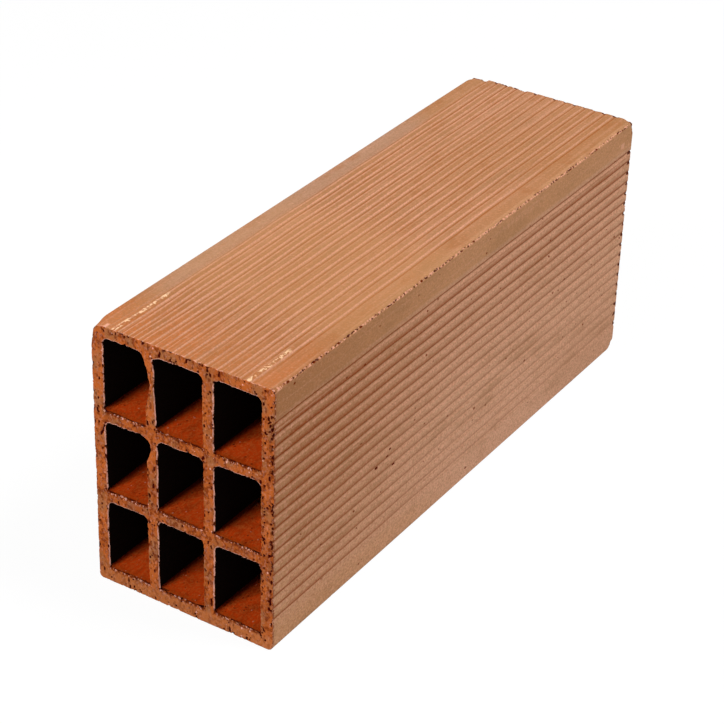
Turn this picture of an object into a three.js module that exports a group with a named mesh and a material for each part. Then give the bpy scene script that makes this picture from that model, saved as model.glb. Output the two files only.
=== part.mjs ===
// Hollow clay brick: one piece of clay, extruded through a die, cut to length by a wire and fired.
// Its section has cells in columns and rows, and all four long faces are combed with grooves for mortar.
// Millimetres. X runs across the brick, Y along its cells and Z up; the origin is under its middle.

import * as THREE from 'three';

// Outside of the brick
const length = 400;
const width = 120;
const height = 168;
const cornerRadius = 3;

// Shell and webs. The underside carries the green brick on the cutting table, so its wall is the thickest.
const sideWall = 8;
const topWall = 7;
const bottomWall = 10;
const uprightWeb = 7.3;
const levelWeb = 7.3;

// Cells. The die's cores stand a little to one side, which makes the first column narrower than the rest.
const columns = 3;
const rows = 3;
const firstColumnLoss = 2.8;
const cellRoofRadius = 4;
const cellFloorRadius = 1.5;

// Combing. Each long face keeps a smooth band along its edges that is at least as wide as its margin.
const grooveWidth = 3;
const grooveDepth = 0.9;
const widePitch = 7.5;
const wideMargin = 16;
const narrowPitch = 7.3;
const narrowMargin = 8;

// Steps on each arc of the section are twice this number.
const arcSteps = 3;

const quarterTurn = Math.PI / 2;

const firedClay = new THREE.MeshStandardMaterial({ color: 0xbb7446, roughness: 0.92, metalness: 0 });

// Adds one groove to an outline that runs anticlockwise. The groove is a shallow arc whose centre lies
// outside the face, and heading is the direction in which the outline runs along that face.
function addGroove(outline, mouthX, mouthZ, heading) {
  const radius = (grooveWidth ** 2 / 4 + grooveDepth ** 2) / (2 * grooveDepth);
  const standOff = radius - grooveDepth;
  const lipAngle = Math.asin(standOff / radius);
  const centreX = mouthX + standOff * Math.sin(heading);
  const centreZ = mouthZ - standOff * Math.cos(heading);
  outline.absarc(centreX, centreZ, radius, heading + Math.PI - lipAngle, heading + lipAngle, true);
}

// Adds the grooves of one face, centred on it. Each groove's place is counted from the middle of the face.
function addCombing(outline, midX, midZ, heading, faceLength, margin, pitch) {
  const room = faceLength - 2 * margin - grooveWidth;
  const count = Math.floor(room / pitch) + 1;
  for (let i = 0; i < count; i += 1) {
    const along = (i - (count - 1) / 2) * pitch;
    addGroove(outline, midX + along * Math.cos(heading), midZ + along * Math.sin(heading), heading);
  }
}

// Outline of the whole section: four rounded corners with a combed face after each.
function brickOutline() {
  const outline = new THREE.Shape();
  const side = width / 2;
  const middle = height / 2;
  const cornerX = side - cornerRadius;
  const upperZ = height - cornerRadius;

  outline.absarc(-cornerX, cornerRadius, cornerRadius, 2 * quarterTurn, 3 * quarterTurn, false);
  addCombing(outline, 0, 0, 0, width, narrowMargin, narrowPitch);
  outline.absarc(cornerX, cornerRadius, cornerRadius, 3 * quarterTurn, 4 * quarterTurn, false);
  addCombing(outline, side, middle, quarterTurn, height, wideMargin, widePitch);
  outline.absarc(cornerX, upperZ, cornerRadius, 0, quarterTurn, false);
  addCombing(outline, 0, height, 2 * quarterTurn, width, narrowMargin, narrowPitch);
  outline.absarc(-cornerX, upperZ, cornerRadius, quarterTurn, 2 * quarterTurn, false);
  addCombing(outline, -side, middle, 3 * quarterTurn, height, wideMargin, widePitch);
  return outline;
}

// One cell, given by its lower left corner and its size. Its roof corners sag into wider fillets.
function cellOutline(left, floor, cellWidth, cellHeight) {
  const right = left + cellWidth;
  const roof = floor + cellHeight;
  const low = cellFloorRadius;
  const high = cellRoofRadius;
  const outline = new THREE.Path();
  outline.absarc(left + low, floor + low, low, 2 * quarterTurn, 3 * quarterTurn, false);
  outline.absarc(right - low, floor + low, low, 3 * quarterTurn, 4 * quarterTurn, false);
  outline.absarc(right - high, roof - high, high, 0, quarterTurn, false);
  outline.absarc(left + high, roof - high, high, quarterTurn, 2 * quarterTurn, false);
  return outline;
}

// All cells, from what the shell and the webs leave clear.
function cellOutlines() {
  const clearWidth = width - 2 * sideWall - (columns - 1) * uprightWeb;
  const clearHeight = height - topWall - bottomWall - (rows - 1) * levelWeb;
  const fullWidth = (clearWidth + firstColumnLoss) / columns;
  const cellHeight = clearHeight / rows;
  const cells = [];
  for (let column = 0; column < columns; column += 1) {
    const loss = column === 0 ? firstColumnLoss : 0;
    const right = sideWall - width / 2 + (column + 1) * fullWidth - firstColumnLoss + column * uprightWeb;
    const left = right - fullWidth + loss;
    for (let row = 0; row < rows; row += 1) {
      const floor = bottomWall + row * (cellHeight + levelWeb);
      cells.push(cellOutline(left, floor, fullWidth - loss, cellHeight));
    }
  }
  return cells;
}

// The section is drawn upright, extruded and laid along Y between its two cut ends.
function brickBody() {
  const section = brickOutline();
  section.holes = cellOutlines();
  const geometry = new THREE.ExtrudeGeometry(section, {
    depth: length,
    curveSegments: arcSteps,
    bevelEnabled: false,
  });
  geometry.rotateX(quarterTurn);
  geometry.translate(0, length / 2, 0);
  const body = new THREE.Mesh(geometry, firedClay);
  body.name = 'brick_body';
  return body;
}

const brick = new THREE.Group();
brick.add(brickBody());

export default brick;
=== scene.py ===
import math
import random
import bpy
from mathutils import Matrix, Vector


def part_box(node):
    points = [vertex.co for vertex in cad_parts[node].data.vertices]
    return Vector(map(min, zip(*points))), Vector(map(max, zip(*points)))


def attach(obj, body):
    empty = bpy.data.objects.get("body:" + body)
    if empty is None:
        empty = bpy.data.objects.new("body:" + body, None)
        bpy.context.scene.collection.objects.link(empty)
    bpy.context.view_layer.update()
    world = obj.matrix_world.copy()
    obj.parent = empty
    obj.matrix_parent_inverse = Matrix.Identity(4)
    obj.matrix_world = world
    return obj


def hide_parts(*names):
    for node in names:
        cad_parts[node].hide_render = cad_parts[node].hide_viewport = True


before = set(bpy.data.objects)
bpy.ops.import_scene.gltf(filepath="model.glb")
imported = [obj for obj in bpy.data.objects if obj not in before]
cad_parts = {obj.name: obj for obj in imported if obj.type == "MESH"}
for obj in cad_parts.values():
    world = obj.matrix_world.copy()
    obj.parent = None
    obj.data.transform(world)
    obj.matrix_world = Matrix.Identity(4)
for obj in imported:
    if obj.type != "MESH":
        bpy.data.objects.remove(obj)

from types import SimpleNamespace

import bmesh
import bpy
from bpy.props import FloatProperty, FloatVectorProperty, IntProperty, PointerProperty
from mathutils import Matrix, Vector, kdtree, noise

bl_info = {
    "name": "Hollow Clay Brick",
    "version": (1, 0, 0),
    "blender": (4, 5, 0),
    "location": "View3D > Sidebar > Clay Brick",
    "description": "Dresses a combed, nine-cell clay brick with its cut ends, wear and fired clay finishes",
    "category": "Object",
}

MM = 0.001
X, Y, Z = range(3)
TINY = 1e-6
CAD_NODE = "brick_body"
PIECE = "fired_brick"

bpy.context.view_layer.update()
LOW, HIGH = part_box(CAD_NODE)
LENGTH = HIGH.y - LOW.y
WIDTH = HIGH.x - LOW.x
HEIGHT = HIGH.z - LOW.z

# Faces of the piece fall in three zones, which are also its material slots.
SKIN, CUT, CELL = range(3)
# No cell comes this near the outside, and no groove reaches this deep.
SHELL_DEPTH = 4 * MM
# How deep a full groove of the comb is.
GROOVE_DEPTH = 0.9 * MM
# The comb over the top sat this far to the left of the middle, and more so to the right by this share of x.
COMB_OFFSET = 0.65 * MM
COMB_SQUEEZE = 0.017
# The combs at the sides sat this much low, and closed up towards mid-height by this share.
SIDE_COMB_OFFSET = 0.5 * MM
SIDE_COMB_SQUEEZE = 0.008
# How far from the sharp corner the rounding of a long edge reaches, and the middle part of that rounding.
CORNER_REACH = 3.05 * MM
ARRIS_MIDDLE = 1.6 * MM
# Rows of the mesh beside each cut end, as distances in from it.
END_ROWS = [row * MM for row in (1.0, 2.0, 3.2, 4.6, 6.4, 8.8, 12.0, 16.0)]
# Layers of the mesh that its materials read: pale burr, pits, with painted shade in the rear ends of the
# grooves, crumbling long edges, which way a flank of the comb leans (the layer named bloom), which places the
# painted highlight and the painted shade on the comb, and the lips of its grooves, which carry a painted
# highlight line.
LAYERS = ("burr", "pit", "edge", "bloom", "lip")

# Webs that were pushed out of line at the front end while the clay was soft, and a worn corner. Each push has
# its axis, its place in the section, its reach along x, z and y, and its amount, in millimetres.
DENTS = (
    (X, (-24, 142.5), (7, 15, 70), 3.6),
    (X, (-24, 163), (6, 11, 60), -1.9),
    (X, (-16.8, 142), (6, 26, 60), -1.6),
    (X, (-16.8, 159), (6, 8, 50), -1.6),
    (X, (-24, 101), (6, 9, 50), 3.2),
    (X, (-60, 168), (9, 14, 13), 2.3),
    (Z, (-60, 170), (8, 6, 10), -1.2),
)
# No push reaches further from the front end.
DENTED_LENGTH = 75 * MM
# Slits torn in the front end, from their lower to their upper end in the section, in millimetres.
FRONT_SLITS = (
    ((16.9, 164.6), (16.9, 166.6)),
    ((24.6, 166.6), (24.6, 167.0)),
    ((-37.4, 166.2), (-37.4, 166.6)),
    ((18.4, 151.0), (19.2, 152.7)),
    ((-55.6, 98.8), (-52.4, 105.2)),
    ((-52.6, 118.2), (-52.6, 118.6)),
    ((-51.5, 165.5), (-51.5, 165.9)),
    ((-22.7, 66.0), (-22.7, 66.2)),
    ((-22.6, 69.4), (-22.7, 71.6)),
    ((18.7, 13.4), (18.9, 18.4)),
    ((56.7, 145.2), (56.6, 151.0)),
    ((59.3, 144.6), (59.4, 147.4)),
    ((59.3, 132.4), (59.3, 133.0)),
    ((57.9, 130.8), (57.9, 131.2)),
)
# Chips at the rear end: place in the section, radius and depth, in millimetres.
REAR_CHIPS = (
    ((-48.5, 168), 2.6, 2.4),
    ((-56, 168), 9.0, 1.5),
    ((-20, 168), 3.0, 1.2),
    ((59, 167), 7.0, 1.6),
    ((59, 2), 6.0, 2.0),
)
# Pits of the right face: centre along y and z, and size along them, in millimetres.
SIDE_PITS = (
    ((-97, 64.6), (2.8, 1.3)),
    ((-86.4, 67), (2.2, 1.1)),
    ((-78.4, 57.4), (2.8, 1.3)),
    ((-83.6, 70.6), (1.8, 1.0)),
)

# Sockets of a Mix node that mixes colours.
MIX_A, MIX_B, MIX_RESULT = 6, 7, 2


def linear(hex_colour):
    """An sRGB colour, written as six hex digits, as linear red, green and blue."""
    parts = [int(hex_colour[i : i + 2], 16) / 255 for i in (0, 2, 4)]
    return tuple(c / 12.92 if c <= 0.04045 else ((c + 0.055) / 1.055) ** 2.4 for c in parts)


def per_metre(size_mm):
    """The scale of a texture whose features are this many millimetres across."""
    return 1 / (size_mm * MM)


# ---------------------------------------------------------------- settings


def length_setting(name, description, default_mm):
    """A length that a user can change."""
    return FloatProperty(name=name, description=description, default=default_mm * MM, unit="LENGTH")


def count_setting(name, description, default):
    """A number of marks that a user can change."""
    return IntProperty(name=name, description=description, default=default, min=0)


def colour_setting(name, description, hex_colour):
    """A colour that a user can change, given as sRGB hex digits."""
    return FloatVectorProperty(
        name=name,
        description=description,
        subtype="COLOR",
        default=linear(hex_colour),
        min=0,
        max=1,
    )


def angle_setting(name, description, degrees):
    """An angle that a user can change."""
    return FloatProperty(name=name, description=description, default=math.radians(degrees), subtype="ANGLE")


def light_setting(name, description, default):
    """A brightness that a user can change."""
    return FloatProperty(name=name, description=description, default=default, min=0)


class ClayBrickSizes(bpy.types.PropertyGroup):
    end_grid: length_setting("Cut end grid", "Spacing of the mesh on the wire-cut ends", 0.95)
    arris_round: length_setting(
        "Arris rounding", "Width of the rounded edge round the cut ends and the cell mouths", 0.7
    )
    lip_round: length_setting(
        "Comb lip rounding", "Width of the bevel on the lips of the comb grooves", 0.4
    )
    skin_wave: length_setting("Skin waviness", "How far the extruded faces wander from flat", 0.2)
    comb_drift: length_setting("Comb drift", "How far the comb grooves wander sideways", 0.3)
    cut_roughness: length_setting("Cut roughness", "How rough the wire left the cut ends", 0.3)
    mouth_burr: length_setting("Mouth burr", "How far the edges of the cell mouths wander", 0.45)
    tear_count: count_setting("Tears", "Pits and slits torn out of the cut ends by the wire", 420)
    nick_count: count_setting(
        "Nicks", "Small nicks along the edges of the cut ends, and as many again under the cell mouths", 420
    )
    chip_count: count_setting(
        "Chips along the long edges",
        "Small chips along the sharpest long edge, and fewer along the others",
        150,
    )
    seed: IntProperty(name="Seed", description="Seed of all random wear", default=41)


class ClayBrickColours(bpy.types.PropertyGroup):
    skin_tan: colour_setting("Die skin, tan", "Main colour of the extruded faces", "bf895e")
    # Also laid as painted highlight on the lit flanks and lips of the comb.
    skin_pink: colour_setting("Die skin, pink", "Pinkish bloom on the extruded faces", "dea687")
    # Also laid as painted shade on the top's comb flanks that lean away from the side lamp.
    skin_orange: colour_setting(
        "Die skin, orange", "Bottoms of the comb grooves, where the clay is freshest", "ac6632"
    )
    skin_khaki: colour_setting("Die skin, khaki", "Dull flashing from the kiln", "a3774f")
    skin_ash: colour_setting("Die skin, ash", "Greyish bloom along the left of the top face", "bd9278")
    side_tan: colour_setting("Right face, tan", "Smooth bands at the edges of the right face", "cf9664")
    side_beige: colour_setting("Right face, beige", "Lower and rear part of the right face", "dfae8d")
    side_brown: colour_setting("Right face, brown", "Upper and front part of the right face", "a87048")
    # Mostly painted shade on the comb flanks that face away from the lamps; also the brown of grit, pits and
    # chips.
    shade: colour_setting("Groove shade", "Flanks of the comb grooves that the bloom left bare", "9a4006")
    cut_clay: colour_setting("Cut clay", "Main colour of the wire-cut ends", "d37032")
    # Also laid as painted shade in the right face's grooves near the front.
    cut_dark: colour_setting("Cut clay, dark", "Dark mottling of the wire-cut ends", "7c2a06")
    cell_clay: colour_setting("Cell clay", "Floors of the cells", "d6460c")
    # Near-black painted shade for the walls and roofs of the cells, where the lamps do not reach.
    cell_dark: colour_setting(
        "Cell clay, dark", "Walls and roofs of the cells, where no loose clay lies", "0d0503"
    )
    # Also laid as painted shadow on the cell floors beside the left walls, and as painted shade in the rear
    # ends of the grooves.
    pore: colour_setting("Pore", "The depth of pores and tears", "4e0802")
    burr: colour_setting("Burr", "Thin torn burrs and crumbs on the cut ends", "ffc2ae")
    crumb: colour_setting("Crumbs", "Dry crumbs pressed into two grooves of the top face", "fad2a8")
    # Also laid as painted highlight on the comb's lit flanks and on the lips of the top's grooves.
    pale: colour_setting("Pale edge", "Scuffs, pale edges and bloom", "f2b498")


class ClayBrickStage(bpy.types.PropertyGroup):
    azimuth: angle_setting(
        "Camera azimuth", "Direction in which the camera looks, from +Y towards -X", 32.063
    )
    elevation: angle_setting("Camera elevation", "Height of the camera above the horizon", 31.231)
    roll: angle_setting("Camera roll", "Turn of the camera about its own axis", 1.905)
    lens: FloatProperty(
        name="Lens",
        description="Focal length on a 36 mm sensor",
        default=112.97,
        subtype="DISTANCE_CAMERA",
    )
    aim: FloatVectorProperty(
        name="Camera aim",
        description="A point in the middle of the picture",
        subtype="XYZ",
        unit="LENGTH",
        default=(-5.13 * MM, -12.93 * MM, 70.43 * MM),
    )
    distance: length_setting("Camera distance", "From the aim point to the camera", 1372.1)
    ambient: light_setting("Ambient light", "Strength of the light from all round", 0.1)
    key_light: light_setting(
        "Side light", "Brightness that the side lamp gives a white surface square to it", 0.75
    )
    front_light: light_setting(
        "Front light", "Brightness that the front lamp gives a white surface square to it", 0.5
    )


# ---------------------------------------------------------------- the brick's mesh


def from_side(point):
    """How far inside the nearer side face a point lies."""
    return WIDTH / 2 - abs(point.x)


def from_bed(point):
    """How far inside the nearer one of the top and the underside a point lies."""
    return min(point.z - LOW.z, HIGH.z - point.z)


def from_end(point):
    """How far inside the nearer cut end a point lies."""
    return LENGTH / 2 - abs(point.y)


def depth_of(point):
    """How far inside the brick's box a point lies, its cut ends left aside."""
    return min(from_side(point), from_bed(point))


def from_corner(point):
    """How far a point lies from the sharp corner in front of a long edge's rounding, along x or z, whichever
    is more."""
    return max(from_side(point), from_bed(point))


def near_corner(point):
    """Whether a point belongs to a long edge and the flat strips beside it."""
    return from_corner(point) < SHELL_DEPTH


def on_long_arris(point):
    """Whether a point lies in the middle of the rounding of a long edge."""
    return from_corner(point) < ARRIS_MIDDLE


def in_sharp_quarter(point):
    """Whether a point lies in the quarter of the section with the sharpest long edge, at the top right."""
    return point.x > 0 and point.z > HEIGHT / 2


def at_end(vert):
    """Whether a corner of the mesh lies in the plane of a cut end."""
    return from_end(vert.co) < TINY


def zones_of(element):
    """The zones of the faces that meet at a corner or an edge of the mesh."""
    return {f.material_index for f in element.link_faces}


def in_zone(bm, zone):
    """The faces of a zone."""
    return [f for f in bm.faces if f.material_index == zone]


def edge_run(edge, axis):
    """How far an edge runs along an axis."""
    return abs(edge.verts[0].co[axis] - edge.verts[1].co[axis])


def open_tube():
    """The long faces of the brick's solid, each strip as one quad from end to end, without the cut ends."""
    bm = bmesh.new()
    bm.from_mesh(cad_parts[CAD_NODE].data)
    bmesh.ops.remove_doubles(bm, verts=bm.verts, dist=TINY)
    ends = [f for f in bm.faces if abs(f.normal.y) > 0.5]
    bmesh.ops.delete(bm, geom=ends, context="FACES")
    diagonals = []
    for edge in bm.edges:
        across = Vector((edge_run(edge, X), edge_run(edge, Z)))
        if edge_run(edge, Y) > LENGTH / 2 and across.length > TINY:
            diagonals.append(edge)
    bmesh.ops.dissolve_edges(bm, edges=diagonals, use_verts=False)
    for face in bm.faces:
        face.material_index = SKIN if depth_of(face.calc_center_median()) < SHELL_DEPTH else CELL
    return bm


def close_ends(bm):
    """Fills both ends of the tube, around the mouths of the cells."""
    for place in (LOW.y, HIGH.y):
        rim = [e for e in bm.edges if e.is_boundary and abs(e.verts[0].co.y - place) < TINY]
        made = bmesh.ops.triangle_fill(bm, use_beauty=True, use_dissolve=False, edges=rim)["geom"]
        for face in made:
            if isinstance(face, bmesh.types.BMFace):
                face.material_index = CUT
    bmesh.ops.recalc_face_normals(bm, faces=bm.faces)


def soften_lips(bm, width):
    """Bevels the sharp lips of the comb grooves."""
    sharp = math.radians(30)
    lips = []
    for edge in bm.edges:
        if edge_run(edge, Y) > LENGTH / 2 and edge.calc_face_angle_signed(0) > sharp:
            lips.append(edge)
    bmesh.ops.bevel(
        bm,
        geom=lips,
        offset=width,
        offset_type="OFFSET",
        segments=1,
        profile=0.5,
        affect="EDGES",
        material=-1,
    )


def round_arrises(bm, width):
    """Rounds the edges of the cut ends and of the cell mouths by two inset rings that step back."""
    rim_share, second_share = 0.45, 0.55
    rim_drop, second_drop = 0.8, 0.2
    ends = in_zone(bm, CUT)
    for share in (rim_share, second_share):
        bmesh.ops.inset_region(
            bm,
            faces=ends,
            use_boundary=True,
            use_even_offset=True,
            thickness=width * share,
        )
    rim = {v for f in bm.faces if f.material_index != CUT for v in f.verts if at_end(v)}
    second = {e.other_vert(v) for v in rim for e in v.link_edges if at_end(e.other_vert(v))} - rim
    for ring, drop in ((rim, rim_drop), (second, second_drop)):
        for vert in ring:
            vert.co.y -= math.copysign(width * drop, vert.co.y)


def slice_faces(bm, faces, axis, places):
    """Cuts these faces by planes square to an axis, the middle plane first and then each side of it."""
    if not places or not faces:
        return
    closest = 0.04 * MM
    half = len(places) // 2
    place = places[half]
    normal = Vector((0, 0, 0))
    normal[axis] = 1
    region = dict.fromkeys(faces)
    for face in faces:
        region.update(dict.fromkeys(face.edges))
        region.update(dict.fromkeys(face.verts))
    made = bmesh.ops.bisect_plane(
        bm,
        geom=list(region),
        dist=closest,
        plane_co=normal * place,
        plane_no=normal,
    )["geom"]
    below, above = [], []
    for element in made:
        if isinstance(element, bmesh.types.BMFace):
            side = below if element.calc_center_median()[axis] < place else above
            side.append(element)
    slice_faces(bm, below, axis, places[:half])
    slice_faces(bm, above, axis, places[half + 1 :])


def steps(start, end, spacing):
    """Evenly spaced places strictly between two ends."""
    count = max(2, round((end - start) / spacing))
    return [start + (end - start) * i / count for i in range(1, count)]


def divide_lengthwise(bm, zone, shortest, spacing):
    """Divides the edges of a zone that run along the brick and are longer than this, to a spacing."""
    edges = [e for e in bm.edges if zones_of(e) == {zone} and edge_run(e, Y) > shortest]
    if edges:
        cuts = max(1, round(edge_run(edges[0], Y) / spacing) - 1)
        bmesh.ops.subdivide_edges(bm, edges=edges, cuts=cuts)


def divide_across(bm, zone, axis, spacing, furthest):
    """Divides the edges of a zone that run square to the brick's length, as far from the ends as given."""
    worth_dividing = 1.3 * spacing
    by_cuts = {}
    for edge in bm.edges:
        run = edge_run(edge, axis)
        if run < worth_dividing or max(edge_run(edge, a) for a in (X, Y, Z) if a != axis) > TINY:
            continue
        if from_end(edge.verts[0].co) > furthest or zone not in zones_of(edge):
            continue
        by_cuts.setdefault(round(run / spacing) - 1 or 1, []).append(edge)
    for cuts, edges in sorted(by_cuts.items()):
        bmesh.ops.subdivide_edges(bm, edges=edges, cuts=cuts)


def row_up_ends(bm):
    """Cuts the long strips into rows that stand close together beside the cut ends."""
    rows = [LOW.y + row for row in END_ROWS] + [HIGH.y - row for row in reversed(END_ROWS)]
    edges = [e for e in bm.edges if edge_run(e, Y) > LENGTH / 2]
    bmesh.ops.subdivide_edges(bm, edges=edges, cuts=len(rows))
    pitch = LENGTH / (len(rows) + 1)
    for vert in bm.verts:
        if from_end(vert.co) > pitch / 2:
            vert.co.y = rows[round((vert.co.y - LOW.y) / pitch) - 1]


def divide_corners(bm):
    """Divides the roundings of the long edges once more, and the sharpest one the most."""
    shortest = 6 * MM
    blunt_cuts, sharp_cuts = 3, 7
    sharp, blunt = [], []
    for edge in bm.edges:
        middle = (edge.verts[0].co + edge.verts[1].co) / 2
        if edge_run(edge, Y) > shortest and from_corner(middle) < CORNER_REACH - 0.2 * MM:
            corner = sharp if in_sharp_quarter(middle) else blunt
            corner.append(edge)
    bmesh.ops.subdivide_edges(bm, edges=blunt, cuts=blunt_cuts)
    bmesh.ops.subdivide_edges(bm, edges=sharp, cuts=sharp_cuts)


def refine(bm, grid):
    """Divides the mesh: finely on the cut ends and beside them, coarsely along the middle."""
    skin_spacing, cell_spacing, wall_spacing = 9 * MM, 24 * MM, 5 * MM
    fine_end = END_ROWS[-2] + TINY
    row_up_ends(bm)
    for axis in (X, Z):
        divide_across(bm, CELL, axis, wall_spacing, LENGTH)
    for axis in (X, Z):
        divide_across(bm, SKIN, axis, 2 * grid, fine_end)
    for axis in (X, Z):
        slice_faces(bm, in_zone(bm, CUT), axis, steps(LOW[axis], HIGH[axis], grid))
    divide_lengthwise(bm, SKIN, LENGTH / 2, skin_spacing)
    divide_lengthwise(bm, CELL, LENGTH / 2, cell_spacing)
    divide_corners(bm)


def clear_diagonals(bm):
    """Takes out the slanting edges on the flat of the cut ends, which leaves the square grid."""
    flat = 0.999
    slanting = []
    for edge in bm.edges:
        on_flat = all(f.material_index == CUT and abs(f.normal.y) > flat for f in edge.link_faces)
        if on_flat and min(edge_run(edge, X), edge_run(edge, Z)) > 5 * TINY and edge_run(edge, Y) < TINY:
            slanting.append(edge)
    bmesh.ops.dissolve_edges(bm, edges=slanting, use_verts=True)


# ---------------------------------------------------------------- wear


def fade(distance, reach):
    """1 at no distance, 0 at the reach, smooth at both."""
    if distance >= reach:
        return 0.0
    t = 1 - (distance / reach) ** 2
    return t * t


def tent(distance, reach):
    """1 at no distance, falling evenly to 0 at the reach."""
    return max(0.0, 1 - distance / reach)


def unit_noise(point, size, stretch=(1, 1, 1), shift=0.0):
    """Noise from 0 to 1 with features of this size, longer along an axis by its stretch."""
    contrast = 1.6
    scaled = Vector([p / (size * s) + shift for p, s in zip(point, stretch)])
    return 0.5 + 0.5 * max(-1.0, min(1.0, noise.noise(scaled) * contrast))


def share_of(value, start, end):
    """How far a value is on its way from the start to the end, from 0 to 1."""
    return max(0.0, min(1.0, (value - start) / (end - start)))


def end_smear(point):
    """The share of the comb's depth that the wire filled at a point near a cut end. It filled little at the
    rear and on the right face, and most on the left face, the underside and the left of the top."""
    if point.y > 0:
        share, reach = 0.5, 3
    elif point.x > WIDTH / 2 - SHELL_DEPTH:
        share, reach = 0.25, 8
    elif point.x < SHELL_DEPTH - WIDTH / 2:
        share, reach = 1.0, 26
    elif point.z < SHELL_DEPTH:
        share, reach = 1.0, 18
    else:
        leftness = share_of(point.x, 0, -40 * MM)
        share, reach = 0.5 + 0.4 * leftness, 9 + 22 * leftness
    return share * fade(from_end(point), reach * MM)


def side_fill(point):
    """The share of the comb's depth that is missing on the right face, more so low down and to the rear."""
    if point.x < WIDTH / 2 - SHELL_DEPTH:
        return 0.0
    most = 0.5
    lowness = share_of(point.z, 110 * MM, 20 * MM)
    rearness = share_of(point.y, -50 * MM, 150 * MM)
    return most * lowness * (0.6 + 0.4 * rearness)


def comb_fill(point):
    """How far outwards a point of the comb lies from where a full groove would put it."""
    crumbs = 0.25 * unit_noise(point, 9 * MM, (1, 4, 1), 1.7)
    filled = min(1.0, crumbs + end_smear(point) + side_fill(point))
    shallower = filled * GROOVE_DEPTH * min(1.0, depth_of(point) / GROOVE_DEPTH)
    if from_side(point) < SHELL_DEPTH:
        return Vector((math.copysign(shallower, point.x), 0, 0))
    return Vector((0, 0, math.copysign(shallower, point.z - HEIGHT / 2)))


def skin_move(point, sizes):
    """The slow waves of the extruded faces and the drift of the comb. Nothing leaves the brick's box."""
    long_waves = (1, 2.5, 1)
    smooth_strip = 5 * MM
    above_middle = point.z - HEIGHT / 2
    side = from_side(point) < SHELL_DEPTH
    bed = from_bed(point) < SHELL_DEPTH
    move = Vector((0, 0, 0))
    if side:
        wave = sizes.skin_wave * unit_noise(point, 70 * MM, long_waves, 3.1)
        move.x -= math.copysign(wave, point.x)
    if bed:
        wave = sizes.skin_wave * unit_noise(point, 55 * MM, long_waves, 8.7)
        move.z -= math.copysign(wave, above_middle)
    if side != bed:
        drift = sizes.comb_drift * (2 * unit_noise(point, 22 * MM, (1, 2, 1), 5.5) - 1)
        hold = min(1.0, (from_corner(point) - SHELL_DEPTH) / smooth_strip)
        if side:
            move.z += (drift - SIDE_COMB_OFFSET - SIDE_COMB_SQUEEZE * above_middle) * hold
        else:
            move.x += (drift - COMB_OFFSET - COMB_SQUEEZE * max(0, point.x)) * hold
        move += comb_fill(point)
    return move


def sharpen_arris(point):
    """The long edge between the top and the right face came off the die sharper than the others, except for
    a short stretch at the front end."""
    share, blunt_length, onset = 0.45, 2 * MM, 14 * MM
    inward = Vector((HIGH.x, point.y, HIGH.z)) - point
    if max(inward.x, inward.z) > CORNER_REACH or point.y < LOW.y + blunt_length:
        return Vector((0, 0, 0))
    return inward * share * (1 - fade(point.y - LOW.y, onset))


def cut_move(point, sizes):
    """How far the wire cut in at a point of a cut end: slow waves, tearing and upright drag marks."""
    slow = unit_noise(point, 34 * MM, shift=2.2)
    torn = unit_noise(point, 3.2 * MM, shift=6.1)
    drag = unit_noise(point, 1.7 * MM, (1, 1, 9), 4.4)
    depth = sizes.cut_roughness * (0.8 * slow + 0.45 * torn + 0.3 * drag)
    return Vector((0, -math.copysign(depth, point.y), 0))


def cell_move(point, sizes):
    """The wander of the cells' walls, with ragged burrs at their mouths."""
    wander, burr_length = 0.9 * MM, 5 * MM
    burr = fade(from_end(point), burr_length) * 2 * sizes.mouth_burr
    move = Vector((0, 0, 0))
    for axis, slow_shift, fine_shift, coarse_shift in ((X, 11.3, 21.5, 2.5), (Z, 14.9, 27.8, 7.1)):
        slow = unit_noise(point, 26 * MM, (1, 3, 1), slow_shift) - 0.5
        fine = unit_noise(point, 1.7 * MM, shift=fine_shift)
        coarse = unit_noise(point, 4.2 * MM, shift=coarse_shift)
        move[axis] = wander * slow + burr * (0.6 * fine + 0.4 * coarse - 0.5)
    return move


def web_dents(point):
    """The pushes that bent the webs and wore a corner at the front end."""
    move = Vector((0, 0, 0))
    for axis, at, reach, amount in DENTS:
        across = tent(abs(point.x / MM - at[0]), reach[0])
        up = tent(abs(point.z / MM - at[1]), reach[1])
        along = fade((point.y - LOW.y) / MM, reach[2])
        move[axis] += amount * MM * across * up * along
    return move


def burr_share(vert):
    """How pale the burr is at a point of a rim: most along the roofs and the left sides of the cells. It is
    below zero along the floors, where the burr crumbled away."""
    floor_facing, side_share = 0.7, 0.9
    inner = [f.normal for f in vert.link_faces if f.material_index == CELL]
    if not inner:
        return 0.0
    facing = sum(inner, Vector((0, 0, 0))).normalized()
    if facing.z > floor_facing:
        return -1.0
    return max(-facing.z, side_share * facing.x, 0.0)


def nick_places(bm):
    """The points where the clay can tear or chip, by kind: rims of the cut ends, the floor edges of the cell
    mouths among them, the flat of the cut ends, the sharpest long edge and the other three."""
    places = SimpleNamespace(rims=[], ledges=[], flat=[], sharp=[], blunt=[])
    for vert in bm.verts:
        zones = zones_of(vert)
        if CUT in zones and len(zones) > 1:
            places.rims.append(vert.co.copy())
            if burr_share(vert) < 0:
                places.ledges.append(vert.co.copy())
        elif zones == {CUT}:
            places.flat.append(vert.co.copy())
        elif zones == {SKIN} and on_long_arris(vert.co):
            kind = places.sharp if in_sharp_quarter(vert.co) else places.blunt
            kind.append(vert.co.copy())
    return places


def scattered_nicks(draw, points, count, radius, depth):
    """Nicks at some of these points. Radius and depth are drawn between two limits in millimetres."""
    nicks = []
    for _ in range(count):
        nicks.append((draw.choice(points), draw.uniform(*radius) * MM, draw.uniform(*depth) * MM))
    return nicks


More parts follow.
